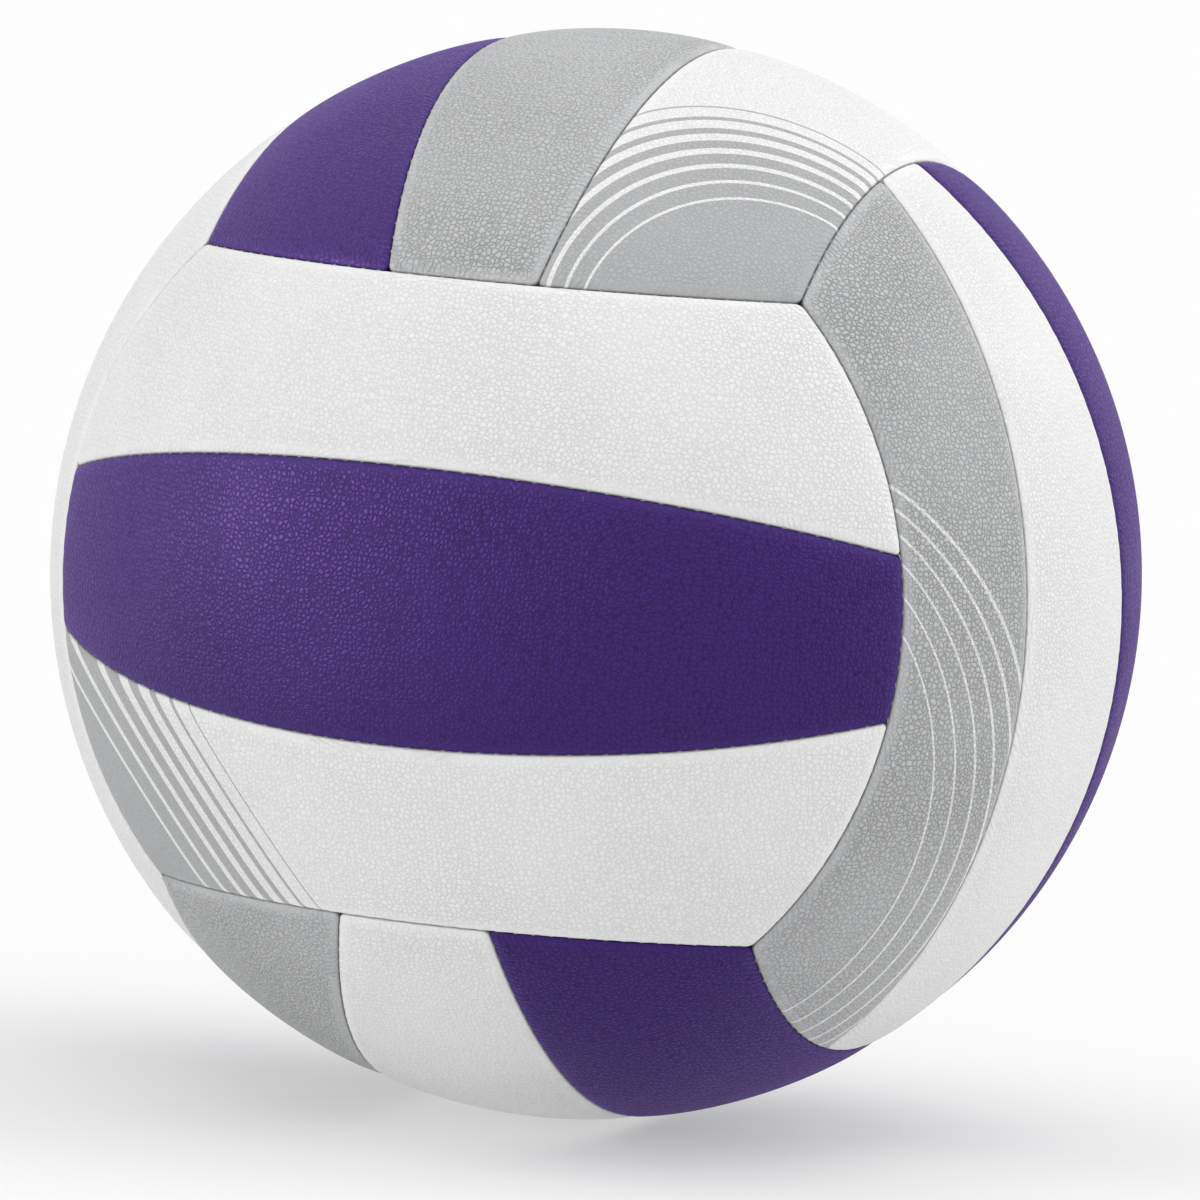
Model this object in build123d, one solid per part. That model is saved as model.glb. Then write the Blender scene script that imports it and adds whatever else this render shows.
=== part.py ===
from build123d import *
import os
from math import acos, cos, degrees, radians, sin, sqrt, tan

# Stitched volleyball: eighteen padded strips in six groups of three, sewn round a rubber bladder.
# The origin is the ball's centre. The front group faces -Y, and the valve is in the back group, on +Y.
# A group is drawn in its own frame: x along the strips, y across them, z outwards.

# Driving size of the ball, in millimetres
ball_diameter = 210.0

# The two strip seams of a group, on the -y and the +y side of its frame. Each has its angle across the group
# from the middle, and its turn about the group's face, in degrees: sewn strips are pulled a little askew.
straight_seams = ((-14.4, 0.0), (14.4, 0.0))
top_seams = ((-13.6, 1.2), (9.6, 4.5))
bottom_seams = ((-15.6, -2.5), (10.2, -4.0))
side_seams = ((-5.2, 6.5), (17.6, 2.2))

# Layers of the cover from the outside in
cover_thickness = 1.2
foam_thickness = 3.0
lining_thickness = 0.6
glue_gap = 0.1

# Bladder
bladder_gap = 0.3
bladder_wall = 0.9

# Seams: the gap between two turned-in rims, the rolled rim, the rounded corners and the thread
seam_gap = 0.3
rim_roll_radius = 2.2
corner_radius = 3.2
thread_diameter = 0.8
thread_gap = 0.05
thread_end_gap = 0.7

# Valve body: a neck in the cover, a stem through the padding, a flange inside the bladder and a floor
valve_neck_diameter = 9.4
valve_stem_diameter = 12.0
valve_flange_diameter = 26.0
valve_flange_thickness = 1.2
valve_length = 17.0
valve_floor_thickness = 1.6
valve_floor_hole_diameter = 2.8
valve_recess = 0.3
valve_gap = 0.1
valve_lip_radius = 0.4

# Valve core: a plug with a head, and a needle channel with a funnel mouth
core_diameter = 6.4
core_head_diameter = 7.8
core_head_height = 1.4
core_recess = 0.4
needle_channel_diameter = 2.0
needle_funnel_depth = 0.7

# Every cut runs past the piece by this much
cut_overrun = 5.0

# Radii of the layers, worked out from the outside in
ball_radius = ball_diameter / 2
foam_radius = ball_radius - cover_thickness - glue_gap
lining_radius = foam_radius - foam_thickness - glue_gap
rim_radius = lining_radius - lining_thickness
bladder_radius = rim_radius - bladder_gap
flange_radius = bladder_radius - bladder_wall - glue_gap

# Insets of the walls from the middle of the seam, and the corners of what lies in the cover
cover_inset = seam_gap / 2
cavity_inset = cover_inset + cover_thickness
pad_inset = cavity_inset + glue_gap
pad_corner = corner_radius - cover_thickness - glue_gap

# Groups meet where two face normals are equally far off, so their seams lie on cones of this half angle,
# and each outer side seam of a group runs this far either way round its cone
group_cone_angle = acos(1 / sqrt(3))
side_seam_half_angle = 45.0
cut_reach = ball_radius + cut_overrun

# Each group: outward and strip directions, strip seams, and its strips from the +y side to the -y side
groups = {
    "front": ((0, -1, 0), (1, 0, 0), straight_seams, ("upper", "middle", "lower")),
    "back": ((0, 1, 0), (-1, 0, 0), straight_seams, ("upper", "middle", "lower")),
    "top": ((0, 0, 1), (0, -1, 0), top_seams, ("right", "middle", "left")),
    "bottom": ((0, 0, -1), (0, 1, 0), bottom_seams, ("right", "middle", "left")),
    "right": ((1, 0, 0), (0, 0, 1), side_seams, ("front", "middle", "back")),
    "left": ((-1, 0, 0), (0, 0, -1), side_seams, ("front", "middle", "back")),
}


def seam_cone():
    """The cone round +z, from the ball's centre, that the seams round a group's face lie on."""
    width = cut_reach * tan(group_cone_angle)
    return Rot(0, 0, 90) * Cone(0, width, cut_reach, align=(Align.CENTER, Align.CENTER, Align.MIN))


def end_cone(inset):
    """The cone that holds both ends of a group's strips, drawn in from the seam by inset."""
    return Pos(0, 0, inset / sin(group_cone_angle)) * seam_cone()


def side_cone(side, inset):
    """The cone that cuts a group's outer side, -y or +y, drawn in from the seam by inset."""
    return Pos(0, -side * inset / sin(group_cone_angle), 0) * Rot(-90 * side, 0, 0) * seam_cone()


def strip_seam_plane(seam, side, inset):
    """The plane of a strip seam on one side of a strip, facing out of the strip and drawn in by inset."""
    angle, turn = seam
    outwards = Vector(0, side, 0).rotate(Axis.X, -angle).rotate(Axis.Z, turn)
    return Plane(origin=outwards * -inset, z_dir=outwards)


def layer_ball(radius):
    """A ball whose poles and seam line lie away from the group's strips."""
    return Sphere(radius, rotation=(90, 0, 0))


def strip_block(seams, outside, inside, inset):
    """A strip between two radii, its walls inset from its seams. None stands for the group's outer seam."""
    block = (layer_ball(outside) - layer_ball(inside)) & end_cone(inset)
    for seam, side in zip(seams, (-1, 1)):
        if seam is None:
            block = block - side_cone(side, inset)
        else:
            block = split(block, strip_seam_plane(seam, side, inset), keep=Keep.BOTTOM)
    return block


def radius_at(edge, place):
    """How far a point of an edge is from the ball's centre."""
    return (edge @ place).length


def rounded_block(seams, outside, inside, inset, corner):
    """A strip's block with its four corners rounded."""
    block = strip_block(seams, outside, inside, inset)
    middle_radius = (outside + inside) / 2
    corners = [e for e in block.edges() if radius_at(e, 0) < middle_radius < radius_at(e, 1)]
    corners += [e for e in block.edges() if radius_at(e, 1) < middle_radius < radius_at(e, 0)]
    return fillet(corners, corner)


def cover(seams):
    """A cover panel: a skin that rolls over at its rim and turns in at the seams, open on the inside."""
    skin = rounded_block(seams, ball_radius, rim_radius, cover_inset, corner_radius)
    rim = [e for e in skin.edges() if min(radius_at(e, 0), radius_at(e, 1)) > foam_radius]
    skin = fillet(rim, rim_roll_radius)
    cavity_radius = ball_radius - cover_thickness
    cavity_corner = corner_radius - cover_thickness
    return skin - rounded_block(seams, cavity_radius, rim_radius - cut_overrun, cavity_inset, cavity_corner)


def foam(seams):
    """The foam pad that fills a cover panel."""
    return rounded_block(seams, foam_radius, foam_radius - foam_thickness, pad_inset, pad_corner)


def lining(seams):
    """The cloth under a foam pad."""
    return rounded_block(seams, lining_radius, rim_radius, pad_inset, pad_corner)


def valve_round(diameter, low, high):
    """A round of the valve on the +Y axis, between two distances from the ball's centre."""
    round_bar = Cylinder(diameter / 2, high - low, align=(Align.CENTER, Align.CENTER, Align.MIN))
    return Pos(0, low, 0) * Rot(-90, 0, 0) * round_bar


# Places along the valve's axis, as distances from the ball's centre
valve_top = ball_radius - valve_recess
valve_shoulder = sqrt(foam_radius**2 - (valve_stem_diameter / 2) ** 2)
valve_end = valve_top - valve_length
valve_floor = valve_end + valve_floor_thickness
core_top = valve_top - core_recess
core_seat = core_top - core_head_height


def valve_body():
    """The flanged stem: bored for the core, with a rounded lip and a floor that the core stands on."""
    neck = valve_round(valve_neck_diameter, valve_shoulder, valve_top)
    neck = fillet(neck.edges().filter_by(GeomType.CIRCLE).sort_by(Axis.Y)[-1], valve_lip_radius)
    stem = valve_round(valve_stem_diameter, valve_end, valve_shoulder)
    flange_shell = layer_ball(flange_radius) - layer_ball(flange_radius - valve_flange_thickness)
    flange = flange_shell & valve_round(valve_flange_diameter, valve_end, cut_reach)
    bore = valve_round(core_diameter + 2 * valve_gap, valve_floor, cut_reach)
    head_seat = valve_round(core_head_diameter + 2 * valve_gap, core_seat, cut_reach)
    floor_hole = valve_round(valve_floor_hole_diameter, valve_end - cut_overrun, cut_reach)
    return neck + stem + flange - bore - head_seat - floor_hole


def valve_core():
    """The plug in the valve body, with the channel for the needle and its funnel."""
    plug = valve_round(core_diameter, valve_floor, core_top)
    plug = plug + valve_round(core_head_diameter, core_seat, core_top)
    plug = plug - valve_round(needle_channel_diameter, valve_floor - cut_overrun, cut_reach)
    mouth = plug.edges().filter_by(GeomType.CIRCLE).group_by(Axis.Y)[-1].sort_by(SortBy.RADIUS)[0]
    return chamfer(mouth, needle_funnel_depth)


def bladder():
    """The rubber ball inside the panels, with a hole for the valve's stem."""
    wall = layer_ball(bladder_radius) - layer_ball(bladder_radius - bladder_wall)
    return wall - valve_round(valve_stem_diameter + 2 * valve_gap, valve_end, cut_reach)


# The thread lies in the groove between two rolled rims, just clear of both
thread_radius = thread_diameter / 2
roll_offset = rim_roll_radius + seam_gap / 2
roll_height = sqrt((ball_radius - rim_roll_radius) ** 2 - roll_offset**2)
thread_lift = sqrt((rim_roll_radius + thread_radius + thread_gap) ** 2 - roll_offset**2)
thread_run_radius = roll_height + thread_lift


def thread_arc(height, run_radius, half_angle):
    """A run of thread round the y axis, at a height along it, to half_angle each side of +z."""
    section = Plane(origin=(0, height, run_radius), z_dir=(1, 0, 0)) * Circle(thread_radius)
    return Rot(0, -half_angle, 0) * revolve(section, Axis.Y, 2 * half_angle)


def group_threads(seams):
    """The thread of one group: its two outer side seams, then the seams between its strips."""
    end_room = thread_diameter + thread_end_gap
    side_radius = thread_run_radius * sin(group_cone_angle)
    side_height = thread_run_radius * cos(group_cone_angle)
    side_half = side_seam_half_angle - degrees(end_room / side_radius)
    runs = [thread_arc(side * side_height, side_radius, side_half) for side in (-1, 1)]
    for angle, turn in seams:
        strip_half = degrees(acos(cos(group_cone_angle) / cos(radians(angle))) - end_room / thread_run_radius)
        runs.append(Rot(0, 0, turn) * Rot(-angle, 0, 0) * thread_arc(0, thread_run_radius, strip_half))
    return runs


layer_makers = {"panel": cover, "foam": foam, "lining": lining}
hole_diameters = {"panel": valve_neck_diameter, "foam": valve_stem_diameter, "lining": valve_stem_diameter}


def strip_set(seams):
    """Every layer of a group's three strips, from the +y side to the -y side."""
    low, high = seams
    strips = ((high, None), (low, high), (None, low))
    return {layer: [make_layer(strip) for strip in strips] for layer, make_layer in layer_makers.items()}


strip_sets = {seams: strip_set(seams) for seams in (straight_seams, top_seams, bottom_seams, side_seams)}
nodes = {"bladder": bladder(), "valve_body": valve_body(), "valve_core": valve_core()}
threads = []
for group, (outward, along, seams, strip_names) in groups.items():
    place = Plane(origin=(0, 0, 0), x_dir=along, z_dir=outward).location
    threads += [place * run for run in group_threads(seams)]
    for layer, strips in strip_sets[seams].items():
        for strip_name, strip in zip(strip_names, strips):
            nodes[f"{group}_{strip_name}_{layer}"] = place * strip
for layer, diameter in hole_diameters.items():
    nodes[f"back_middle_{layer}"] -= valve_round(diameter + 2 * valve_gap, valve_end, cut_reach)
nodes["seam_thread"] = Compound(threads)

os.makedirs("parts", exist_ok=True)
for name, solid in nodes.items():
    export_step(solid, f"parts/{name}.step")
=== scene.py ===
from collections import namedtuple
from math import acos, cos, pi, radians, sin, sqrt

import bpy
import numpy as np
from mathutils import Matrix, Quaternion, Vector


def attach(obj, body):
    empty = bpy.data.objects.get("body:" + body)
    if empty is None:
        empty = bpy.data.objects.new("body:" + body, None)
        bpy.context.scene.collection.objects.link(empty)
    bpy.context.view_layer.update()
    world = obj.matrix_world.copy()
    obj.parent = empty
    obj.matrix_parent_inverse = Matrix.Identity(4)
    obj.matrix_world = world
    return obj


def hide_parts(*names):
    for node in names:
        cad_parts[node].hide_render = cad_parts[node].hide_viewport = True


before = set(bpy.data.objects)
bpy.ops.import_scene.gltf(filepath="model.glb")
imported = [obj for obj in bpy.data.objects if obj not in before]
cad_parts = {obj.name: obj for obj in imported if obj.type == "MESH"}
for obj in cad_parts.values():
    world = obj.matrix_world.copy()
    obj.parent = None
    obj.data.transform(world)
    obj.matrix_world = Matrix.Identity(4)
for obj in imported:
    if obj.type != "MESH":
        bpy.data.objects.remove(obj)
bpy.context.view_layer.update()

# Stitched volleyball in metres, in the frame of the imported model: the ball's centre is the origin, the front
# group of strips faces -Y and the valve is on +Y. A group is drawn in its own frame: x along the strips,
# y across them, z outwards.

MM = 0.001
BALL_RADIUS = 105 * MM
COVER_THICKNESS = 1.2 * MM
FOAM_THICKNESS = 3.0 * MM
LINING_THICKNESS = 0.6 * MM
GLUE_GAP = 0.1 * MM
HALF_SEAM_GAP = 0.03 * MM
FOAM_RADIUS = BALL_RADIUS - COVER_THICKNESS - GLUE_GAP
LINING_RADIUS = FOAM_RADIUS - FOAM_THICKNESS - GLUE_GAP
RIM_RADIUS = LINING_RADIUS - LINING_THICKNESS

# Form of a padded strip: the rolled rim, its rounded corners, the slow fall towards the seam and the puckers
RIM_ROLL = 1.7 * MM
RIM_DROP = 0.6 * MM
CORNER_RADIUS = 1.2 * MM
CAVITY_CORNER = 0.3 * MM
PILLOW_DEPTH = 0.45 * MM
PILLOW_REACH = 3.6 * MM
PUCKER_DEPTH = 0.11 * MM
PUCKER_REACH = 2.4 * MM

# Puckers along a seam: each wave's share, its length and which way it follows the slow wander that makes the waves
# uneven. A strip's second side and second end read the waves from further on.
PUCKER_WAVES = ((0.55, 4.3 * MM, 1), (0.30, 2.9 * MM, -1), (0.15, 11 * MM, 0))
PUCKER_WANDER = 1.4
PUCKER_WANDER_LENGTH = 29 * MM
SECOND_SIDE_RUN = 17.3 * MM
SECOND_END_RUN = 31.1 * MM

# Layers under the cover: the roll of their rims, at most a share of their thickness
PAD_ROLL = 0.9 * MM
PAD_ROLL_SHARE = 0.25

# Radii of the holes for the valve, in the cover and in the layers under it
VALVE_NECK_HOLE = 4.8 * MM
VALVE_STEM_HOLE = 6.1 * MM

# Cover round the valve: rings of the mesh by their distance from the hole, its rolled lip and the dip round it
LIP_RINGS = tuple(out * MM for out in (3.0, 2.0, 1.2, 0.7, 0.4, 0.2, 0.06, 0.0))
LIP_ROLL = 0.7 * MM
LIP_DIP = 0.15 * MM
FAR_FROM_SEAMS = 9 * MM

# Stitches: short slanted loops of thread that cross each seam down in the groove. The rings of their mesh run from
# end to end. Bluntness keeps a stitch thick for longer, and the tip is what is left of its section at the ends.
STITCH_PITCH = 3.4 * MM
STITCH_LENGTH = 2.3 * MM
STITCH_SLANT = 0.34
STITCH_DEPTH = 1.06 * MM
STITCH_DIP = 0.45 * MM
STITCH_RINGS = (-1.0, -0.93, -0.75, -0.4, 0.0, 0.4, 0.75, 0.93, 1.0)
STITCH_BLUNTNESS = 6
STITCH_TIP = 0.02
THREAD_RADIUS = 0.16 * MM
THREAD_SIDES = 7
SEAM_END_ROOM = 2.2 * MM

# Seams of a group: the cone round its face, how far its side seams run round their cones, and its two strip seams,
# each with its angle across the group and its turn about the group's face, in degrees
SEAM_CONE = acos(1 / sqrt(3))
SIDE_SEAM_HALF_ANGLE = radians(45)
STRAIGHT_SEAMS = ((-14.4, 0.0), (14.4, 0.0))
TOP_SEAMS = ((-13.6, 1.2), (9.6, 4.5))
BOTTOM_SEAMS = ((-15.6, -2.5), (10.2, -4.0))
SIDE_SEAMS = ((-5.2, 6.5), (17.6, 2.2))

# Each group: outward and strip directions, strip seams, and its strips from the +y side to the -y side
GROUPS = {
    "front": ((0, -1, 0), (1, 0, 0), STRAIGHT_SEAMS, ("upper", "middle", "lower")),
    "back": ((0, 1, 0), (-1, 0, 0), STRAIGHT_SEAMS, ("upper", "middle", "lower")),
    "top": ((0, 0, 1), (0, -1, 0), TOP_SEAMS, ("right", "middle", "left")),
    "bottom": ((0, 0, -1), (0, 1, 0), BOTTOM_SEAMS, ("right", "middle", "left")),
    "right": ((1, 0, 0), (0, 0, 1), SIDE_SEAMS, ("front", "middle", "back")),
    "left": ((-1, 0, 0), (0, 0, -1), SIDE_SEAMS, ("front", "middle", "back")),
}

COLOURS = {
    "front_upper": "white", "front_middle": "violet", "front_lower": "white",
    "back_upper": "white", "back_middle": "violet", "back_lower": "white",
    "top_left": "violet", "top_middle": "grey", "top_right": "white",
    "bottom_left": "grey", "bottom_middle": "white", "bottom_right": "violet",
    "right_front": "grey", "right_middle": "white", "right_back": "violet",
    "left_front": "white", "left_middle": "grey", "left_back": "violet",
}

# Search for a strip's ends: how far past the cone it starts, and how often it halves the span. Where a side and an
# end meet too slantwise, the shift of a corner is held back by the least room.
END_SEARCH_ROOM = 0.05
END_SEARCH_HALVINGS = 42
LEAST_CORNER_ROOM = 0.05
TINY = 1e-9


def seam_normal(seam):
    """The unit normal, on the +y side, of the plane that a strip seam lies in."""
    angle, turn = (radians(v) for v in seam)
    return np.array([-sin(turn) * cos(angle), cos(turn) * cos(angle), -sin(angle)])


def side_angle(seam, side, along, inset):
    """Angle across the group of a strip's side, drawn in from its seam. None is the group's outer seam."""
    if seam is None:
        height = np.cos(SEAM_CONE + inset / BALL_RADIUS)
        return side * np.arcsin(np.clip(height / np.cos(along), -1, 1))
    x, y, z = seam_normal(seam)
    rise = y * np.cos(along)
    fall = -z * np.cos(along)
    reach = -x * np.sin(along) - side * np.sin(inset / BALL_RADIUS)
    return np.arctan2(fall, rise) + np.arcsin(np.clip(reach / np.hypot(rise, fall), -1, 1))


def grid_lines(steps, middle):
    """Lines from one rim to the other: how far across each is, and how far in from the rim it runs."""
    share = [0.0] * len(steps) + [k / middle for k in range(1, middle)] + [1.0] * len(steps)
    depth = list(steps) + [steps[-1]] * (middle - 1) + list(steps[::-1])
    return np.array(share), np.array(depth)


def strip_surface(seams, across, along, inset, corner):
    """Directions from the ball's centre to the grid of a strip, with each point's place on it."""
    low, high = seams
    share = across[0][:, None]
    depth = across[1][:, None] + inset
    end_share = along[0][None, :]
    end_depth = along[1][None, :] + inset

    def row_angle(a):
        return (1 - share) * side_angle(low, -1, a, depth) + share * side_angle(high, 1, a, depth)

    level = np.cos(SEAM_CONE - end_depth / BALL_RADIUS) + 0 * depth

    def end_angle(end):
        """How far along each row the strip's end is, by halving the span it lies in."""
        near = np.zeros_like(level)
        far = np.full_like(level, SEAM_CONE + END_SEARCH_ROOM)
        for _ in range(END_SEARCH_HALVINGS):
            middle = (near + far) / 2
            inside = np.cos(middle) * np.cos(row_angle(end * middle)) > level
            near = np.where(inside, middle, near)
            far = np.where(inside, far, middle)
        return end * near

    a = (1 - end_share) * end_angle(-1) + end_share * end_angle(1)
    b = row_angle(a)
    d = np.stack([np.sin(a), np.cos(a) * np.sin(b), np.cos(a) * np.cos(b)], axis=-1)

    def off_side(seam, side):
        """Distance from a side seam, and the tangent that leads away from it."""
        if seam is None:
            axis = np.array([0.0, side, 0.0])
            gap = np.arccos(np.clip(d @ axis, -1, 1)) - SEAM_CONE
        else:
            axis = seam_normal(seam) * side
            gap = -np.arcsin(np.clip(d @ axis, -1, 1))
        lead = (d @ axis)[..., None] * d - axis
        return gap * BALL_RADIUS - inset, lead / np.linalg.norm(lead, axis=-1, keepdims=True)

    low_gap, low_lead = off_side(low, -1)
    high_gap, high_lead = off_side(high, 1)
    nearer_low = low_gap < high_gap
    side_gap = np.where(nearer_low, low_gap, high_gap)
    side_lead = np.where(nearer_low[..., None], low_lead, high_lead)
    up = np.array([0.0, 0.0, 1.0])
    end_gap = (SEAM_CONE - np.arccos(np.clip(d @ up, -1, 1))) * BALL_RADIUS - inset
    end_lead = up - (d @ up)[..., None] * d
    end_lead = end_lead / np.maximum(np.linalg.norm(end_lead, axis=-1, keepdims=True), TINY)

    # The four corners are drawn from the square in to a round
    p = np.clip(1 - side_gap / corner, 0, 1)
    q = np.clip(1 - end_gap / corner, 0, 1)
    p_round = p * np.sqrt(1 - q * q / 2)
    q_round = q * np.sqrt(1 - p * p / 2)
    in_corner = (p > 0) & (q > 0)
    side_move = np.where(in_corner, (p - p_round) * corner, 0)
    end_move = np.where(in_corner, (q - q_round) * corner, 0)
    skew = np.sum(side_lead * end_lead, axis=-1)
    scale = 1 / np.maximum(1 - skew * skew, LEAST_CORNER_ROOM)
    shift = ((side_move - skew * end_move) * scale)[..., None] * side_lead
    shift += ((end_move - skew * side_move) * scale)[..., None] * end_lead
    d = d + shift / BALL_RADIUS
    d = d / np.linalg.norm(d, axis=-1, keepdims=True)
    corner_gap = corner * (1 - np.sqrt(p_round**2 + q_round**2))
    rim_gap = np.where(in_corner, corner_gap, np.minimum(side_gap, end_gap))
    return {
        "direction": d,
        "rim_gap": np.maximum(rim_gap, 0),
        "side_gap": side_gap + side_move,
        "end_gap": end_gap + end_move,
        "side_run": a * BALL_RADIUS + np.where(nearer_low, 0.0, SECOND_SIDE_RUN),
        "end_run": b * BALL_RADIUS * np.cos(a) + np.where(a < 0, 0.0, SECOND_END_RUN),
    }


def roll_drop(gap, roll, drop):
    """How far a rolled edge, so wide and so deep, has fallen at a distance in from its wall."""
    rest = 1 - np.clip(gap, 0, roll) / roll
    return drop * (1 - np.sqrt(np.maximum(1 - rest * rest, 0)))


def pucker_wave(run, phases):
    """Uneven waves along a seam, from 0 to 1."""
    wander = PUCKER_WANDER * np.sin(2 * pi * run / PUCKER_WANDER_LENGTH + phases[0])
    wave = 0 * run
    for (share, length, way), phase in zip(PUCKER_WAVES, phases[1:]):
        wave += share * np.sin(2 * pi * run / length + phase + way * wander)
    return 0.5 + 0.5 * wave


def settle(surface, phases):
    """How far the pillow form and the puckers lower a strip's surface."""
    fall = PILLOW_DEPTH * np.exp(-surface["rim_gap"] / PILLOW_REACH)
    side = np.exp(-((surface["side_gap"] / PUCKER_REACH) ** 2)) * pucker_wave(surface["side_run"], phases)
    end = np.exp(-((surface["end_gap"] / PUCKER_REACH) ** 2)) * pucker_wave(surface["end_run"], phases[::-1])
    return fall + PUCKER_DEPTH * np.maximum(side, end)


def edge_loop(rows, columns):
    """Grid places round the rim, anticlockwise as seen from outside."""
    loop = [(0, j) for j in range(columns - 1)]
    loop += [(i, columns - 1) for i in range(rows - 1)]
    loop += [(rows - 1, j) for j in range(columns - 1, 0, -1)]
    loop += [(i, 0) for i in range(rows - 1, 0, -1)]
    return loop


def block_loop(rows, columns, half):
    """Grid places round a square block at the middle of the grid, anticlockwise."""
    i0, j0 = (rows - 1) // 2 - half, (columns - 1) // 2 - half
    return [(i0 + i, j0 + j) for i, j in edge_loop(2 * half + 1, 2 * half + 1)]


def mesh_piece(name, points, faces, smooth=True):
    """A new object in the scene, from points and faces."""
    mesh = bpy.data.meshes.new(name)
    mesh.from_pydata(points, [], faces)
    mesh.polygons.foreach_set("use_smooth", [smooth] * len(mesh.polygons))
    mesh.update()
    piece = bpy.data.objects.new(name, mesh)
    bpy.context.scene.collection.objects.link(piece)
    return piece


class Shell:
    """Vertices and faces of one closed piece, with its distance from the seam and along it at each vertex."""

    def __init__(self):
        self.points, self.faces, self.gaps, self.runs = [], [], [], []

    def add(self, points, gap=None, run=None):
        """Adds vertices, with their distances from the seam and along it, and gives their numbers."""
        start = len(self.points)
        count = len(points)
        self.points += [tuple(p) for p in points]
        self.gaps += [0.0] * count if gap is None else [float(g) for g in gap]
        self.runs += [0.0] * count if run is None else [float(r) for r in run]
        return list(range(start, start + count))

    def grid(self, points, gap, run, hole_half, kept_rows, kept_columns, outwards):
        """A face of the strip: its rim keeps every vertex, and the inside only those on the kept lines."""
        rows, columns = points.shape[:2]
        rim = edge_loop(rows, columns)
        places = list(rim) + [(i, j) for i in kept_rows[1:-1] for j in kept_columns[1:-1]]
        block = set()
        if hole_half:
            i0, j0 = (rows - 1) // 2, (columns - 1) // 2
            block = {(i, j) for i in range(i0 - hole_half, i0 + hole_half)
                     for j in range(j0 - hole_half, j0 + hole_half)}
            gone = {(i, j) for i in range(i0 - hole_half + 1, i0 + hole_half)
                    for j in range(j0 - hole_half + 1, j0 + hole_half)}
            places = [p for p in places if p not in gone]
        ids = self.add([points[p] for p in places], [gap[p] for p in places], [run[p] for p in places])
        index = dict(zip(places, ids))
        for i, i_next in zip(kept_rows[:-1], kept_rows[1:]):
            for j, j_next in zip(kept_columns[:-1], kept_columns[1:]):
                if (i, j) in block:
                    continue
                ring = [(i, k) for k in (range(j, j_next) if i == 0 else (j,))]
                ring += [(k, j_next) for k in (range(i, i_next) if j_next == columns - 1 else (i,))]
                ring += [(i_next, k) for k in (range(j_next, j, -1) if i_next == rows - 1 else (j_next,))]
                ring += [(k, j) for k in (range(i_next, i, -1) if j == 0 else (i_next,))]
                face = [index[p] for p in ring]
                self.faces.append(face if outwards else face[::-1])
        return index

    def bridge(self, upper, lower):
        """A band of faces between two loops that run anticlockwise round what they enclose."""
        n = len(upper)
        for k in range(n):
            m = (k + 1) % n
            self.faces.append([upper[k], lower[k], lower[m], upper[m]])

    def make(self, name, turn):
        """The piece as an object, turned from the group's frame to the ball's."""
        points = np.array(self.points) @ turn.T
        piece = mesh_piece(name, points.tolist(), self.faces)
        for key, values in (("seam_distance", self.gaps), ("seam_run", self.runs)):
            attribute = piece.data.attributes.new(key, "FLOAT", "POINT")
            attribute.data.foreach_set("value", np.array(values) / MM)
        return piece


def kept(count, edge, step):
    """Every line of a grid where step is 1, else its first and last line and some between."""
    if step == 1:
        return list(range(count))
    inner = list(range(edge, count - edge, step))
    return [0] + inner + [count - 1]


def hole_ring(directions, loop, radius):
    """Directions round a hole at the middle of a strip, each at the angle of a place of the loop round it."""
    around = np.array([directions[p][:2] for p in loop])
    flat = around / np.linalg.norm(around, axis=1, keepdims=True) * (radius / BALL_RADIUS)
    return np.column_stack([flat, np.sqrt(1 - np.sum(flat**2, axis=1))])


# Grids of a cover and of the layers under it: lines round the rolled rim and a little further in, then so many
# cells across and along. The hole for the valve takes the place of a block of cells, so many each way from the
# middle, and the underside of a cover without a hole keeps only every so many lines.
ROLL_ANGLES = (0, 11, 22, 34, 46, 58, 70, 80, 90)
COVER_STEPS = [RIM_ROLL * (1 - cos(radians(angle))) for angle in ROLL_ANGLES]
COVER_STEPS += [2.1 * MM, 2.9 * MM, 3.9 * MM]
COVER_CELLS = (42, 152)
COVER_ACROSS, COVER_ALONG = (grid_lines(COVER_STEPS, cells) for cells in COVER_CELLS)
COVER_HOLE_BLOCK = 8
UNDERSIDE_STEP = 6
PAD_STEPS = [0.0, 0.5 * MM, 1.4 * MM, 3.0 * MM]
PAD_CELLS = (10, 32)
PAD_ACROSS, PAD_ALONG = (grid_lines(PAD_STEPS, cells) for cells in PAD_CELLS)
PAD_HOLE_BLOCK = 2


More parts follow.
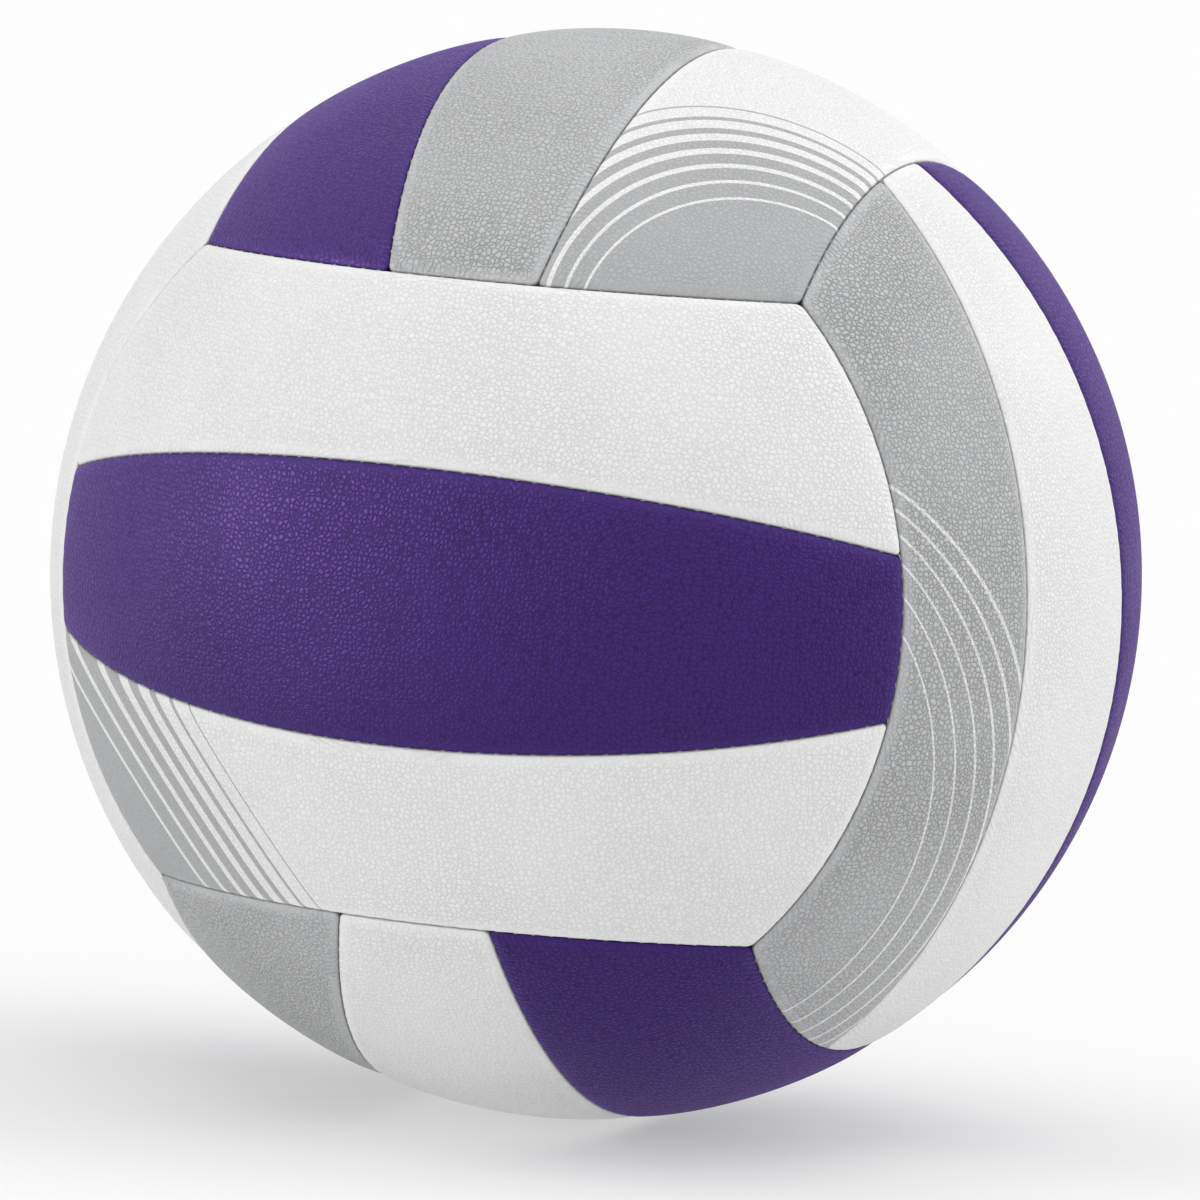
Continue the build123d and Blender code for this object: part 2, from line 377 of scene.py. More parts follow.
def cover_piece(name, seams, turn, phases, hole_radius):
    """A cover panel: leather that rolls over at its rim and turns in at the seams, open on the inside."""
    shell = Shell()
    outer = strip_surface(seams, COVER_ACROSS, COVER_ALONG, HALF_SEAM_GAP, CORNER_RADIUS)
    inner = strip_surface(seams, COVER_ACROSS, COVER_ALONG, HALF_SEAM_GAP + COVER_THICKNESS, CAVITY_CORNER)
    radius = BALL_RADIUS - roll_drop(outer["rim_gap"], RIM_ROLL, RIM_DROP) - settle(outer, phases)
    inner_radius = BALL_RADIUS - COVER_THICKNESS - roll_drop(inner["rim_gap"], RIM_ROLL / 2, RIM_DROP / 2)
    inner_radius = inner_radius - settle(inner, phases)
    outer_points = outer["direction"] * radius[..., None]
    inner_points = inner["direction"] * inner_radius[..., None]
    rows, columns = radius.shape

    # Near one pair of seams, the distance from the other pair says how far along the seam a point is
    run = np.maximum(outer["side_gap"], outer["end_gap"])
    hole_half = COVER_HOLE_BLOCK if hole_radius else 0
    step = 1 if hole_radius else UNDERSIDE_STEP
    edge = len(COVER_STEPS) - 1
    all_rows, all_columns = list(range(rows)), list(range(columns))
    top = shell.grid(outer_points, outer["rim_gap"], run, hole_half, all_rows, all_columns, True)
    under = shell.grid(inner_points, 0 * inner["rim_gap"], 0 * run, hole_half,
                       kept(rows, edge, step), kept(columns, edge, step), False)
    rim = edge_loop(rows, columns)
    wall_out = np.array([outer["direction"][p] for p in rim])
    wall_in = np.array([inner["direction"][p] for p in rim])
    rim_run = [run[p] for p in rim]
    deep = (BALL_RADIUS + RIM_RADIUS - RIM_ROLL) / 2
    loops = [[top[p] for p in rim]]
    loops.append(shell.add(wall_out * deep, None, rim_run))
    loops.append(shell.add(wall_out * RIM_RADIUS, None, rim_run))
    loops.append(shell.add(wall_in * RIM_RADIUS, None, rim_run))
    loops.append([under[p] for p in rim])
    for upper, lower in zip(loops[:-1], loops[1:]):
        shell.bridge(upper, lower)
    if hole_radius:
        loop = block_loop(rows, columns, hole_half)
        away = [FAR_FROM_SEAMS] * len(loop)
        last = [top[p] for p in loop]
        for out in LIP_RINGS:
            ring = hole_ring(outer["direction"], loop, hole_radius + out)
            drop = roll_drop(out, LIP_ROLL, LIP_ROLL) + LIP_DIP * (1 - out / LIP_RINGS[0]) ** 2
            new = shell.add(ring * (BALL_RADIUS - drop), away)
            shell.bridge(new, last)
            last = new
        floor_ring = shell.add(ring * (BALL_RADIUS - COVER_THICKNESS), away)
        shell.bridge(floor_ring, last)
        shell.bridge([under[p] for p in loop], floor_ring)
    return shell.make(name, turn)


def pad_piece(name, seams, turn, top_radius, bottom_radius, hole_radius):
    """A layer under the cover, between two radii, that follows the cover's pillow form on its outer side."""
    shell = Shell()
    inset = HALF_SEAM_GAP + COVER_THICKNESS + GLUE_GAP
    surface = strip_surface(seams, PAD_ACROSS, PAD_ALONG, inset, CAVITY_CORNER)
    follow = (top_radius - RIM_RADIUS) / (FOAM_RADIUS - RIM_RADIUS)
    roll = min(PAD_ROLL, (top_radius - bottom_radius) * PAD_ROLL_SHARE)
    sunk = (PILLOW_DEPTH + PUCKER_DEPTH) * np.exp(-surface["rim_gap"] / PILLOW_REACH) * follow
    radius = top_radius - sunk - roll_drop(surface["rim_gap"], roll, roll)
    top_points = surface["direction"] * radius[..., None]
    bottom_points = surface["direction"] * bottom_radius
    rows, columns = radius.shape
    lines = list(range(rows)), list(range(columns))
    hole_half = PAD_HOLE_BLOCK if hole_radius else 0
    none = 0 * radius
    top = shell.grid(top_points, surface["rim_gap"], none, hole_half, *lines, True)
    bottom = shell.grid(bottom_points, none, none, hole_half, *lines, False)
    rim = edge_loop(rows, columns)
    shell.bridge([top[p] for p in rim], [bottom[p] for p in rim])
    if hole_radius:
        loop = block_loop(rows, columns, hole_half)
        ring = hole_ring(surface["direction"], loop, hole_radius)
        upper = shell.add(ring * top_radius)
        lower = shell.add(ring * bottom_radius)
        shell.bridge(upper, [top[p] for p in loop])
        shell.bridge(lower, upper)
        shell.bridge([bottom[p] for p in loop], lower)
    return shell.make(name, turn), surface


def seam_paths():
    """Every seam once, as part of a ring: the way along it, the ring's centre, the way out, its size and reach."""
    paths = []
    for outward, along, seams, _ in GROUPS.values():
        x = np.array(along, float)
        z = np.array(outward, float)
        y = np.cross(z, x)
        for side in (-1, 1):
            ring = sin(SEAM_CONE)
            reach = SIDE_SEAM_HALF_ANGLE * ring * BALL_RADIUS - SEAM_END_ROOM
            paths.append((x, y * side * cos(SEAM_CONE), z, ring, reach))
        for seam in seams:
            angle, turn = (radians(v) for v in seam)
            ahead = x * cos(turn) + y * sin(turn)
            aside = y * cos(turn) - x * sin(turn)
            out = aside * sin(angle) + z * cos(angle)
            reach = acos(cos(SEAM_CONE) / cos(angle)) * BALL_RADIUS - SEAM_END_ROOM
            paths.append((ahead, 0 * y, out, 1.0, reach))
    return paths


def stitches_piece(name):
    """All the stitches as one piece, each a closed tube that dips into the seam at both ends."""
    points, faces = [], []
    turns = np.linspace(0, 2 * pi, THREAD_SIDES, endpoint=False)
    for x, rise, z, ring, reach in seam_paths():
        count = int(2 * reach / STITCH_PITCH)
        for k in range(count):
            place = (k + 0.5 - count / 2) * STITCH_PITCH
            turn = place / (ring * BALL_RADIUS)
            out = rise + ring * (sin(turn) * x + cos(turn) * z)
            ahead = cos(turn) * x - sin(turn) * z
            across = np.cross(out, ahead)
            lean = ahead * cos(STITCH_SLANT) + across * sin(STITCH_SLANT)
            wide = np.cross(out, lean)
            start = len(points)
            for t in STITCH_RINGS:
                height = BALL_RADIUS - STITCH_DEPTH - STITCH_DIP * t * t
                middle = out * height + lean * (t * STITCH_LENGTH / 2)
                girth = THREAD_RADIUS * sqrt(max(1 - t**STITCH_BLUNTNESS, STITCH_TIP))
                for turn_round in turns:
                    points.append(middle + girth * (cos(turn_round) * wide + sin(turn_round) * out))
            for r in range(len(STITCH_RINGS) - 1):
                for s in range(THREAD_SIDES):
                    a = start + r * THREAD_SIDES + s
                    b = start + r * THREAD_SIDES + (s + 1) % THREAD_SIDES
                    faces.append((a, b, b + THREAD_SIDES, a + THREAD_SIDES))
            last = start + (len(STITCH_RINGS) - 1) * THREAD_SIDES
            faces.append(tuple(start + s for s in range(THREAD_SIDES - 1, -1, -1)))
            faces.append(tuple(last + s for s in range(THREAD_SIDES)))
    return mesh_piece(name, [tuple(p) for p in points], faces)


class Tree:
    """The nodes of a material or of the world, made and joined by short calls."""

    def __init__(self, owner):
        owner.use_nodes = True
        self.tree = owner.node_tree
        self.tree.nodes.clear()

    def node(self, kind, **settings):
        made = self.tree.nodes.new(kind)
        for key, value in settings.items():
            setattr(made, key, value)
        return made

    def set(self, socket, value):
        if isinstance(value, bpy.types.NodeSocket):
            self.tree.links.new(value, socket)
        elif value is not None:
            socket.default_value = value

    def math(self, operation, a, b=None):
        made = self.node("ShaderNodeMath", operation=operation)
        for socket, value in zip(made.inputs, (a, b)):
            self.set(socket, value)
        return made.outputs[0]

    def remap(self, value, low, high, to_low=0.0, to_high=1.0, smooth=False):
        made = self.node("ShaderNodeMapRange", interpolation_type="SMOOTHSTEP" if smooth else "LINEAR")
        for socket, setting in zip(made.inputs, (value, low, high, to_low, to_high)):
            self.set(socket, setting)
        return made.outputs[0]

    def band(self, value, rise, fall):
        """A smooth band: from 0 to 1 over the rise, and from 1 to 0 over the fall."""
        return self.math("MULTIPLY", self.remap(value, *rise, 0, 1, True), self.remap(value, *fall, 1, 0, True))

    def noise(self, place, scale, detail=2.0, roughness=0.5):
        made = self.node("ShaderNodeTexNoise")
        self.set(made.inputs["Vector"], place)
        made.inputs["Scale"].default_value = scale
        made.inputs["Detail"].default_value = detail
        made.inputs["Roughness"].default_value = roughness
        return made.outputs

    def mix(self, share, a, b):
        made = self.node("ShaderNodeMix", data_type="RGBA")
        self.set(made.inputs["Factor"], share)
        self.set(made.inputs[6], a)
        self.set(made.inputs[7], b)
        return made.outputs[2]

    def vector(self, operation, a, b=None, scale=None):
        made = self.node("ShaderNodeVectorMath", operation=operation)
        self.set(made.inputs[0], a)
        self.set(made.inputs[1], b)
        if scale is not None:
            self.set(made.inputs["Scale"], scale)
        return made.outputs["Value"] if operation == "DOT_PRODUCT" else made.outputs["Vector"]

    def attribute(self, name):
        return self.node("ShaderNodeAttribute", attribute_name=name).outputs["Fac"]

    def place(self):
        return self.node("ShaderNodeTexCoord").outputs["Object"]

    def bump(self, shader, height, strength, depth):
        made = self.node("ShaderNodeBump")
        made.inputs["Strength"].default_value = strength
        made.inputs["Distance"].default_value = depth
        self.set(made.inputs["Height"], height)
        self.set(shader.inputs["Normal"], made.outputs[0])

    def output(self, shader, kind="ShaderNodeOutputMaterial"):
        self.set(self.node(kind).inputs["Surface"], shader.outputs[0])


def rgb(red, green, blue):
    return (red, green, blue, 1.0)


def grey(level):
    return rgb(level, level, level)


# Leather finishes: the colour in the middle of a panel, a shade for its blotches and a lighter colour for its
# rolled rim (partly stretched leather, partly painted sheen), the height of the grain, how dark the painted shade
# in its valleys is and how dark its specks are, then the gloss and the sheen
Finish = namedtuple("Finish", "base blotch rim grain valley speck rough specular tint sheen sheen_tint")
WHITE_LIGHT = grey(1)
LEATHER = {
    "white": Finish(
        base=grey(0.808), blotch=rgb(0.820, 0.818, 0.815), rim=grey(0.828),
        grain=0.19 * MM, valley=0.15, speck=0.012,
        rough=0.66, specular=0.14, tint=WHITE_LIGHT, sheen=0.03, sheen_tint=WHITE_LIGHT),
    "violet": Finish(
        base=rgb(0.030, 0.0113, 0.108), blotch=rgb(0.032, 0.0123, 0.115), rim=rgb(0.042, 0.018, 0.142),
        grain=0.15 * MM, valley=0.56, speck=0.05,
        rough=0.51, specular=0.50, tint=rgb(0.55, 0.33, 1.0), sheen=0.24, sheen_tint=rgb(0.42, 0.16, 1.0)),
    "grey": Finish(
        base=rgb(0.490, 0.496, 0.505), blotch=rgb(0.500, 0.506, 0.515), rim=rgb(0.505, 0.511, 0.520),
        grain=0.34 * MM, valley=0.40, speck=0.02,
        rough=0.54, specular=0.36, tint=WHITE_LIGHT, sheen=0.03, sheen_tint=WHITE_LIGHT),
}

# Grain of the leather. Scales are per metre, and a band near a seam is in millimetres from it. Most values of a
# noise lie in the common span round its middle.
CELL_SCALE = 1020
CELL_RANDOMNESS = 0.75
CELL_WANDER_SCALE = 520
CELL_WANDER = 0.9 * MM
DOME_REACH = 0.55
FURROW_REACH = 0.15
FINE_SCALE = 2200
FINE_HEIGHT = 0.20
PATCH_SCALE = 26
PATCH_LEAST = 0.65
CALM_BAND = (0.3, 3.0)
CALM_LEAST = 0.30
COMMON_NOISE = (0.3, 0.7)
NOISE_MIDDLE = (0.5, 0.5, 0.5)
LEATHER_BUMP = 1.0

# Folds across the rolled rim, with their length and wander in millimetres
FOLD_LENGTH = 1.15
FOLD_WANDER = 2.4
FOLD_WANDER_SCALE = 260
FOLD_RISE = (0.1, 0.6)
FOLD_FALL = (1.0, 3.0)
FOLD_PATCH_SCALE = 75
FOLD_PATCHES = (0.40, 0.60)
FOLD_HEIGHT = 0.5

# Colour and gloss: blotches, the rim that is stretched lighter with painted sheen, painted shade down in the seam,
# specks, and how rough furrows and tops are
BLOTCH_SCALE = 38
BLOTCH_DETAIL = 3
BLOTCHES = (0.35, 0.65)
BLOTCH_ROUGHNESS = 0.03
STRETCH_SHEEN_RISE = (0.2, 0.9)
STRETCH_SHEEN_FALL = (1.1, 3.2)
STRETCH_SHEEN_SHARE = 0.25
SEAM_SHADE_REACH = 0.38
SEAM_SHADE_LEVEL = 0.42
SPECK_SCALE = 900
FURROW_ROUGHER = 0.20
TOP_SMOOTHER = 0.05
SHEEN_ROUGHNESS = 0.35

# Printed stripes, in their own inks. A print runs from a first to a last circle on the ball, with its lines spaced
# evenly from one to the other. A circle is its pole, in degrees round from -Y to +X and degrees up, and its radius
# in degrees. Thin and thick are the first and the last line's share of the pitch, and the grading is a power. White
# ink keeps only a share of the painted shade in the valleys. A print ends a little short of the place of one line
# more.
Stripes = namedtuple("Stripes", "kind first last count thin thick")
PRINT_GREY = rgb(0.435, 0.441, 0.450)
PRINT_WHITE = grey(0.808)
PRINT_VALLEY_SHADE = 0.3
PRINT_GRADING = 1.4
PRINT_END = 0.47
PRINTS = {
    "top_right": Stripes("fade", (40, 27, 21), (40, 33, 29), 7, 0.14, 0.80),
    "front_lower": Stripes("fade", (-66.5, -37.5, 28), (-72.5, -37.5, 47.5), 7, 0.17, 0.88),
    "right_front": Stripes("lines", (23, -19.5, 37), (28.5, -23.5, 46), 6, 0.08, 0.20),
}


def facing(azimuth, elevation):
    """The direction some degrees round from -Y to +X, and some degrees up."""
    azimuth, elevation = radians(azimuth), radians(elevation)
    return Vector((sin(azimuth) * cos(elevation), -cos(azimuth) * cos(elevation), sin(elevation)))


def print_mask(t, place, stripes):
    """1 where the print shows white and 0 where it shows grey."""
    direction = t.vector("NORMALIZE", place)
    outside = []
    for azimuth, elevation, radius in (stripes.first, stripes.last):
        along = t.vector("DOT_PRODUCT", direction, facing(azimuth, elevation))
        outside.append(t.math("SUBTRACT", cos(radians(radius)), along))
    share = t.math("DIVIDE", outside[0], t.math("SUBTRACT", *outside))
    lines = t.math("MULTIPLY", share, stripes.count - 1)
    which = t.math("FLOOR", t.math("ADD", lines, 0.5))
    off = t.math("ABSOLUTE", t.math("SUBTRACT", lines, which))
    grade = t.math("POWER", t.remap(which, 0, stripes.count - 1), PRINT_GRADING)
    line = t.math("LESS_THAN", off, t.remap(grade, 0, 1, stripes.thin / 2, stripes.thick / 2))
    line = t.math("MULTIPLY", line, t.math("GREATER_THAN", lines, -0.5))
    ended = t.math("GREATER_THAN", lines, stripes.count - PRINT_END)
    if stripes.kind == "fade":
        return t.math("MAXIMUM", line, ended)
    return t.math("MULTIPLY", line, t.math("SUBTRACT", 1.0, ended))


def leather(name, colour, print_name=None):
    """Embossed synthetic leather with a pebble grain, creases at the seams and an optional print."""
    material = bpy.data.materials.new(name)
    t = Tree(material)
    place = t.place()
    gap = t.attribute("seam_distance")
    run = t.attribute("seam_run")
    finish = LEATHER[colour]

    # Grain: domed pebbles with valleys between them, drawn out unevenly and pressed flat near the seams
    wander = t.vector("SUBTRACT", t.noise(place, CELL_WANDER_SCALE)[1], NOISE_MIDDLE)
    bent = t.vector("ADD", place, t.vector("SCALE", wander, scale=CELL_WANDER))
    cells = t.node("ShaderNodeTexVoronoi", feature="DISTANCE_TO_EDGE")
    t.set(cells.inputs["Vector"], bent)
    cells.inputs["Scale"].default_value = CELL_SCALE
    cells.inputs["Randomness"].default_value = CELL_RANDOMNESS
    dome = t.remap(cells.outputs[0], 0, DOME_REACH)
    pebble = t.math("MULTIPLY", dome, t.math("SUBTRACT", 2.0, dome))
    # Where the grain's valleys are, for the painted shade in them
    furrow = t.remap(cells.outputs[0], 0, FURROW_REACH, 1, 0, True)
    patch = t.remap(t.noise(place, PATCH_SCALE)[0], *COMMON_NOISE, PATCH_LEAST, 1)
    calm = t.remap(gap, *CALM_BAND, CALM_LEAST, 1, True)
    relief = t.math("MULTIPLY", patch, calm)
    height = t.math("MULTIPLY", pebble, relief)
    height = t.math("ADD", height, t.math("MULTIPLY", t.noise(place, FINE_SCALE)[0], FINE_HEIGHT))

    # Creases: short folds across the rolled rim
    fold_wander = t.math("MULTIPLY", t.noise(place, FOLD_WANDER_SCALE)[0], FOLD_WANDER)
    fold = t.math("SINE", t.math("MULTIPLY", t.math("ADD", run, fold_wander), 2 * pi / FOLD_LENGTH))
    fold_patch = t.remap(t.noise(place, FOLD_PATCH_SCALE)[0], *FOLD_PATCHES)
    folds = t.math("MULTIPLY", t.math("MULTIPLY", fold, t.band(gap, FOLD_RISE, FOLD_FALL)), fold_patch)
    height = t.math("ADD", height, t.math("MULTIPLY", folds, FOLD_HEIGHT))

    # Colour: slow blotches, a rim that is stretched lighter and has painted sheen, painted shade in the grain's
    # valleys and painted shade down in the seam
    blotches = t.remap(t.noise(place, BLOTCH_SCALE, BLOTCH_DETAIL)[0], *BLOTCHES)
    shade = t.mix(blotches, finish.base, finish.blotch)
    # How much painted shade the valleys take, by the grain's relief
    shade_relief = relief
    if print_name:
        mask = print_mask(t, place, PRINTS[print_name])
        if colour == "white":
            shade = t.mix(mask, PRINT_GREY, shade)
        else:
            shade = t.mix(mask, shade, PRINT_WHITE)
            shade_relief = t.math("MULTIPLY", relief, t.remap(mask, 0, 1, 1.0, PRINT_VALLEY_SHADE))
    else:
        # The rolled rim is lighter: partly stretched leather and partly painted sheen
        stretch_and_sheen = t.math("MULTIPLY", t.band(gap, STRETCH_SHEEN_RISE, STRETCH_SHEEN_FALL), STRETCH_SHEEN_SHARE)
        shade = t.mix(stretch_and_sheen, shade, finish.rim)
    # Painted shade down in the seam groove, darkest at the seam
    seam_shade = t.remap(gap, 0, SEAM_SHADE_REACH, SEAM_SHADE_LEVEL, 1, True)
    speck = t.remap(t.noise(place, SPECK_SCALE)[0], *COMMON_NOISE, 1 - finish.speck, 1 + finish.speck)
    # Painted shade in the grain's valleys, less under white ink
    valley = t.math("MULTIPLY", furrow, t.math("MULTIPLY", shade_relief, finish.valley))
    speck_and_shade = t.math("MULTIPLY", t.math("MULTIPLY", seam_shade, speck), t.math("SUBTRACT", 1.0, valley))
    shade = t.vector("SCALE", shade, scale=speck_and_shade)

    shader = t.node("ShaderNodeBsdfPrincipled")
    t.set(shader.inputs["Base Color"], shade)
    rough = t.remap(pebble, 0, 1, finish.rough + FURROW_ROUGHER, finish.rough - TOP_SMOOTHER)
    uneven = t.remap(blotches, 0, 1, -BLOTCH_ROUGHNESS, BLOTCH_ROUGHNESS)
    t.set(shader.inputs["Roughness"], t.math("ADD", rough, uneven))
    shader.inputs["Specular IOR Level"].default_value = finish.specular
    shader.inputs["Specular Tint"].default_value = finish.tint
    shader.inputs["Sheen Weight"].default_value = finish.sheen
    shader.inputs["Sheen Roughness"].default_value = SHEEN_ROUGHNESS
    shader.inputs["Sheen Tint"].default_value = finish.sheen_tint
    t.bump(shader, height, LEATHER_BUMP, finish.grain)
    t.output(shader)
    return material


# Plain stuffs: how much the grain and the slow noise count, how much coarser the slow noise is, and the bump
STUFF_GRAIN = 0.6
STUFF_SLOW = 0.4
STUFF_COARSER = 12
STUFF_DETAIL = 3
STUFF_NOISE_ROUGHNESS = 0.6
STUFF_ROUGHNESS = 0.06
STUFF_BUMP = 0.6


def plain_stuff(name, low, high, scale, rough, depth):
    """A matt stuff whose colour and height vary together, such as rubber, foam or thread."""
    material = bpy.data.materials.new(name)
    t = Tree(material)
    place = t.place()
    grain = t.noise(place, scale, STUFF_DETAIL, STUFF_NOISE_ROUGHNESS)[0]
    slow = t.noise(place, scale / STUFF_COARSER)[0]
    both = t.math("ADD", t.math("MULTIPLY", grain, STUFF_GRAIN), t.math("MULTIPLY", slow, STUFF_SLOW))
    rough_low, rough_high = rough - STUFF_ROUGHNESS, rough + STUFF_ROUGHNESS
    shader = t.node("ShaderNodeBsdfPrincipled")
    t.set(shader.inputs["Base Color"], t.mix(t.remap(both, *BLOTCHES), low, high))
    t.set(shader.inputs["Roughness"], t.remap(grain, *COMMON_NOISE, rough_low, rough_high))
    t.bump(shader, grain, STUFF_BUMP, depth)
    t.output(shader)
    return material


# Lining cloth: waves per metre and their unevenness, roughness, sheen and bump
WEAVE_SCALE = 420
WEAVE_DISTORTION = 0.6
WEAVE_ROUGHNESS = 0.85
WEAVE_SHEEN = 0.3
WEAVE_BUMP = 0.7
WEAVE_DEPTH = 0.15 * MM


def woven(name, low, high):
    """A plain weave: two sets of waves at right angles, along X and along Z."""
    material = bpy.data.materials.new(name)
    t = Tree(material)
    place = t.place()
    waves = []
    for way in "XZ":
        made = t.node("ShaderNodeTexWave", wave_type="BANDS", bands_direction=way)
        t.set(made.inputs["Vector"], place)
        made.inputs["Scale"].default_value = WEAVE_SCALE
        made.inputs["Distortion"].default_value = WEAVE_DISTORTION
        waves.append(made.outputs[1])
    weave = t.math("MULTIPLY", *waves)
    shader = t.node("ShaderNodeBsdfPrincipled")
    t.set(shader.inputs["Base Color"], t.mix(weave, low, high))
    shader.inputs["Roughness"].default_value = WEAVE_ROUGHNESS
    shader.inputs["Sheen Weight"].default_value = WEAVE_SHEEN
    t.bump(shader, weave, WEAVE_BUMP, WEAVE_DEPTH)
    t.output(shader)
    return material


# Each plain stuff: its darkest and palest colour, grain scale, roughness and bump depth
foam_stuff = plain_stuff("foam_pad", rgb(0.62, 0.60, 0.50), rgb(0.76, 0.74, 0.64), 1400, 0.9, 0.4 * MM)
cloth_stuff = woven("lining_weave", rgb(0.55, 0.55, 0.53), rgb(0.78, 0.78, 0.76))
thread_stuff = plain_stuff("seam_thread", rgb(0.26, 0.26, 0.27), rgb(0.44, 0.44, 0.45), 2400, 0.7, 0.1 * MM)
bladder_stuff = plain_stuff(
    "bladder_rubber", rgb(0.018, 0.018, 0.019), rgb(0.032, 0.031, 0.030), 500, 0.6, 0.1 * MM)
valve_stuff = plain_stuff(
    "valve_rubber", rgb(0.028, 0.028, 0.030), rgb(0.050, 0.050, 0.052), 900, 0.55, 0.04 * MM)
core_stuff = plain_stuff(
    "valve_core_rubber", rgb(0.10, 0.10, 0.105), rgb(0.15, 0.15, 0.155), 1100, 0.5, 0.03 * MM)
leathers = {colour: leather(f"{colour}_leather", colour) for colour in LEATHER}
printed = {
    "top_right": leather("white_leather_top_print", "white", "top_right"),
    "front_lower": leather("white_leather_front_print", "white", "front_lower"),
    "right_front": leather("grey_leather_side_print", "grey", "right_front"),
}


def dress(piece, material, node):
    """Gives a piece its finish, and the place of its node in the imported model."""
    piece.data.materials.append(material)
    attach(piece, "root")
    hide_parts(node)


# The panels, each with its own waves of puckers, and the foam and lining under them
PUCKER_SEED = 18
draw = np.random.default_rng(PUCKER_SEED)
for group, (outward, along, (low_seam, high_seam), strip_names) in GROUPS.items():
    x_axis = np.array(along, float)
    z_axis = np.array(outward, float)
    turn = np.stack([x_axis, np.cross(z_axis, x_axis), z_axis], axis=1)
    strips = ((high_seam, None), (low_seam, high_seam), (None, low_seam))
    for strip_name, strip in zip(strip_names, strips):
        where = f"{group}_{strip_name}"
        phases = draw.uniform(0, 2 * pi, 1 + len(PUCKER_WAVES))
        has_valve = where == "back_middle"
        neck_hole = VALVE_NECK_HOLE if has_valve else None
        stem_hole = VALVE_STEM_HOLE if has_valve else None
        colour = COLOURS[where]
        cover = cover_piece(f"cover_{where}", strip, turn, phases, neck_hole)
        dress(cover, printed.get(where, leathers[colour]), f"{where}_panel")
        foam_inside = FOAM_RADIUS - FOAM_THICKNESS
        pad, _ = pad_piece(f"pad_{where}", strip, turn, FOAM_RADIUS, foam_inside, stem_hole)
        dress(pad, foam_stuff, f"{where}_foam")
        lining, surface = pad_piece(f"lining_{where}", strip, turn, LINING_RADIUS, RIM_RADIUS, stem_hole)
        dress(lining, cloth_stuff, f"{where}_lining")

stitches = stitches_piece("seam_stitches")
dress(stitches, thread_stuff, "seam_thread")


def paint(node, material):
    """A better finish for a CAD node that stays as it is."""
    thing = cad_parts[node]
    if not thing.material_slots:
        thing.data.materials.append(material)
    for slot in thing.material_slots:
        slot.material = material


paint("bladder", bladder_stuff)
paint("valve_body", valve_stuff)
paint("valve_core", core_stuff)

# The floor is white to the eye, keeps the ball's soft shadow and throws light up at the ball, like a lit table
FLOOR_HALF = 40.0
FLOOR_ALBEDO = 0.50
FLOOR_GLOW_SEEN = 0.385
FLOOR_GLOW_CAST = 0.41
floor_corners = [(x * FLOOR_HALF, y * FLOOR_HALF, -BALL_RADIUS) for x, y in ((-1, -1), (1, -1), (1, 1), (-1, 1))]
floor = mesh_piece("studio_floor", floor_corners, [(0, 1, 2, 3)], smooth=False)


def seen_rays(t):
    """1 for rays from the eye, and for those that gloss or glass sends on, so that these show the background."""
    path = t.node("ShaderNodeLightPath")
    eye, gloss, glass = (path.outputs[f"Is {ray} Ray"] for ray in ("Camera", "Glossy", "Transmission"))
    return t.math("MAXIMUM", eye, t.math("MAXIMUM", gloss, glass))


floor_stuff = bpy.data.materials.new("white_floor")
t = Tree(floor_stuff)
matt = t.node("ShaderNodeBsdfDiffuse")
matt.inputs["Color"].default_value = grey(FLOOR_ALBEDO)
glow = t.node("ShaderNodeEmission")
t.set(glow.inputs["Strength"], t.remap(seen_rays(t), 0, 1, FLOOR_GLOW_CAST, FLOOR_GLOW_SEEN))
both = t.node("ShaderNodeAddShader")
t.set(both.inputs[0], matt.outputs[0])
t.set(both.inputs[1], glow.outputs[0])
t.output(both)
floor.data.materials.append(floor_stuff)

WORLD_LIGHT = 0.40
world = bpy.data.worlds.new("studio")
bpy.context.scene.world = world
t = Tree(world)
sky = t.node("ShaderNodeBackground")
sky.inputs["Color"].default_value = WHITE_LIGHT
t.set(sky.inputs["Strength"], t.remap(seen_rays(t), 0, 1, WORLD_LIGHT, 1.0))
t.output(sky, "ShaderNodeOutputWorld")


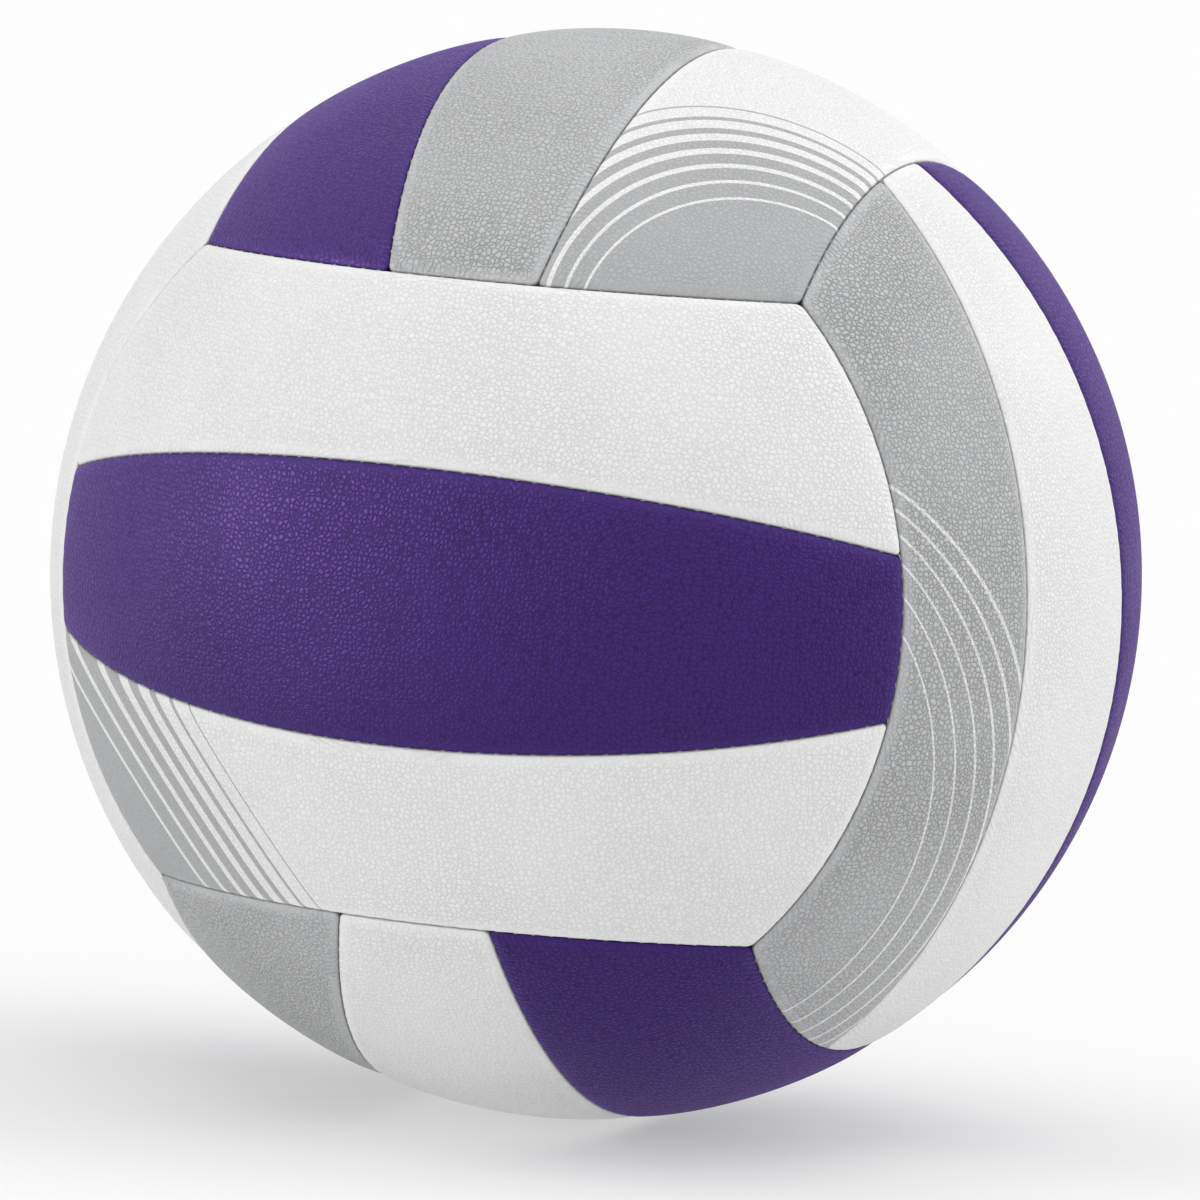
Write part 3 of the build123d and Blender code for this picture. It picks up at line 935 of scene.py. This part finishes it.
def broad_lamp(name, place, width, strength, gloss_only=False):
    """A broad far lamp, as even as a wall of diffusers. Width is in degrees as the ball sees it."""
    lamp = bpy.data.lights.new(name, "SUN")
    lamp.angle = radians(width)
    lamp.energy = strength * pi
    holder = bpy.data.objects.new(name, lamp)
    holder.location = place
    holder.rotation_mode = "QUATERNION"
    holder.rotation_quaternion = Vector(place).to_track_quat("Z", "Y")
    holder.visible_diffuse = not gloss_only
    bpy.context.scene.collection.objects.link(holder)


broad_lamp("left_light", (-0.76, -0.63, 0.14), width=26, strength=0.25)
broad_lamp("right_light", (0.82, 0.32, 0.48), width=54, strength=0.29)
broad_lamp("top_light", (-0.07, -0.03, 1.00), width=80, strength=0.46)
broad_lamp("front_light", (0.37, -0.76, 0.53), width=60, strength=0.11)
broad_lamp("back_light", (0.35, 0.55, 0.76), width=64, strength=0.15)
broad_lamp("left_gloss", (-0.74, -0.63, 0.23), width=16, strength=1.1, gloss_only=True)

# Camera: a long lens, nearly level, with the ball's axis leaning to the right in the picture. The ball's radius and
# centre in the picture are in pixels, and angles are in degrees.
PICTURE_SIZE = 1200
BALL_PIXELS = 546.0
BALL_CENTRE = (596.0, 574.0)
CAMERA_DISTANCE = 20 * BALL_RADIUS
CAMERA_AZIMUTH = 21.4
CAMERA_ELEVATION = 5.4
CAMERA_ROLL = 4.3
SENSOR = 36.0
CLIP_START = 0.05
CLIP_END = 200.0
toward = facing(CAMERA_AZIMUTH, CAMERA_ELEVATION)
right = Quaternion(toward, radians(CAMERA_ROLL)) @ facing(CAMERA_AZIMUTH + 90, 0)
up = toward.cross(right)
focal_pixels = BALL_PIXELS * sqrt(CAMERA_DISTANCE**2 - BALL_RADIUS**2) / BALL_RADIUS
aside = (PICTURE_SIZE / 2 - BALL_CENTRE[0]) / focal_pixels * CAMERA_DISTANCE
below = (PICTURE_SIZE / 2 - BALL_CENTRE[1]) / focal_pixels * CAMERA_DISTANCE
lens = bpy.data.cameras.new("view")
lens.sensor_width = SENSOR
lens.lens = SENSOR * focal_pixels / PICTURE_SIZE
lens.clip_start = CLIP_START
lens.clip_end = CLIP_END
camera = bpy.data.objects.new("view", lens)
camera.rotation_mode = "QUATERNION"
camera.rotation_quaternion = Matrix((right, up, toward)).transposed().to_quaternion()
camera.location = toward * CAMERA_DISTANCE + right * aside - up * below
bpy.context.scene.collection.objects.link(camera)
bpy.context.scene.camera = camera
bpy.context.scene.view_settings.view_transform = "Standard"
